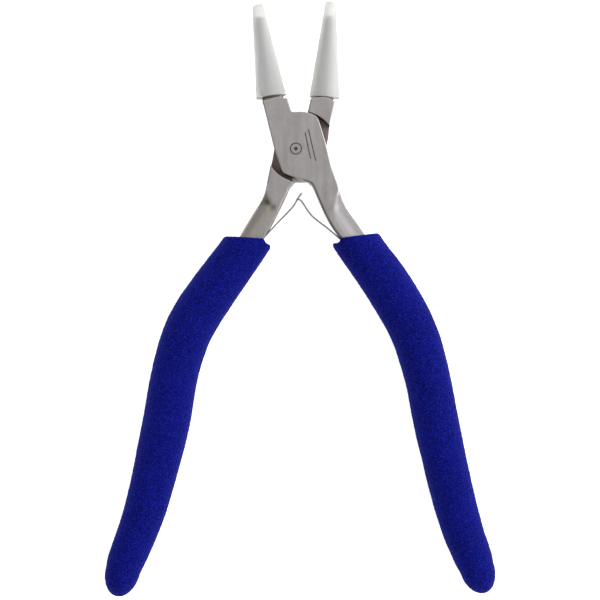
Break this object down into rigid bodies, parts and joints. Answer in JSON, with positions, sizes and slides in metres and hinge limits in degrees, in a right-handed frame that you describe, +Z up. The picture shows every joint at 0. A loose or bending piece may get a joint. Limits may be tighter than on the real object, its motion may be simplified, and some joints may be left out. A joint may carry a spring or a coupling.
{
  "type": "round nose pliers",
  "caption": "Round nose pliers with a ground lap joint, nylon-sleeved tapered round jaws, crossed leaf return springs and blue foam grips.",
  "frame": {"origin": "middle of the whole object's underside, with the pliers lying flat on their grips; the hinge axis stands at x = 0, y = 39.2 mm, and the parting plane of the joint is 6 mm up", "axes": "+Y runs from the handles to the jaw tips, +X to the right when the jaws point away, and +Z is up along the hinge axis, out of the front face of the joint"},
  "size_m": [0.1012, 0.1544, 0.012],
  "materials": {
    "lever_steel": "satin ground steel, flat faces brushed, tangs tumbled",
    "rivet_steel": "ground flush",
    "spring_steel": "blued-grey tempered strip",
    "nylon": "milky translucent nylon, satin",
    "foam": "closed-cell foam rubber, fine-grained matte"
  },
  "bodies": {
    "back_half": {"back_lever": "lever_steel", "back_jaw_sleeve": "nylon", "back_grip": "foam", "back_spring_rivet": "rivet_steel"},
    "front_half": {"front_lever": "lever_steel", "pivot_rivet": "rivet_steel", "front_jaw_sleeve": "nylon", "front_grip": "foam", "front_spring_rivet": "rivet_steel"},
    "front_spring": {"front_leaf_spring": "spring_steel"},
    "back_spring": {"back_leaf_spring": "spring_steel"}
  },
  "joints": [
    {"name": "pliers_hinge", "type": "hinge", "parent": "back_half", "child": "front_half", "pos_m": [0, 0.0392, 0.006], "axis": [0, 0, -1], "range_deg": [-4, 23.5], "stiffness_Nm_per_rad": 1.2},
    {"name": "front_spring_flex", "type": "hinge", "parent": "front_half", "child": "front_spring", "pos_m": [0.008, 0.018, 0.006], "axis": [0, 0, -1], "range_deg": [-3, 13], "deforming": ["front_leaf_spring"]},
    {"name": "back_spring_flex", "type": "hinge", "parent": "back_half", "child": "back_spring", "pos_m": [-0.0079, 0.0178, 0.006], "axis": [0, 0, 1], "range_deg": [-4, 19], "deforming": ["back_leaf_spring"]}
  ],
  "couplings": [
    {"joint": "front_spring_flex", "follows": "pliers_hinge", "ratio": 0.503},
    {"joint": "back_spring_flex", "follows": "pliers_hinge", "ratio": 0.743}
  ]
}
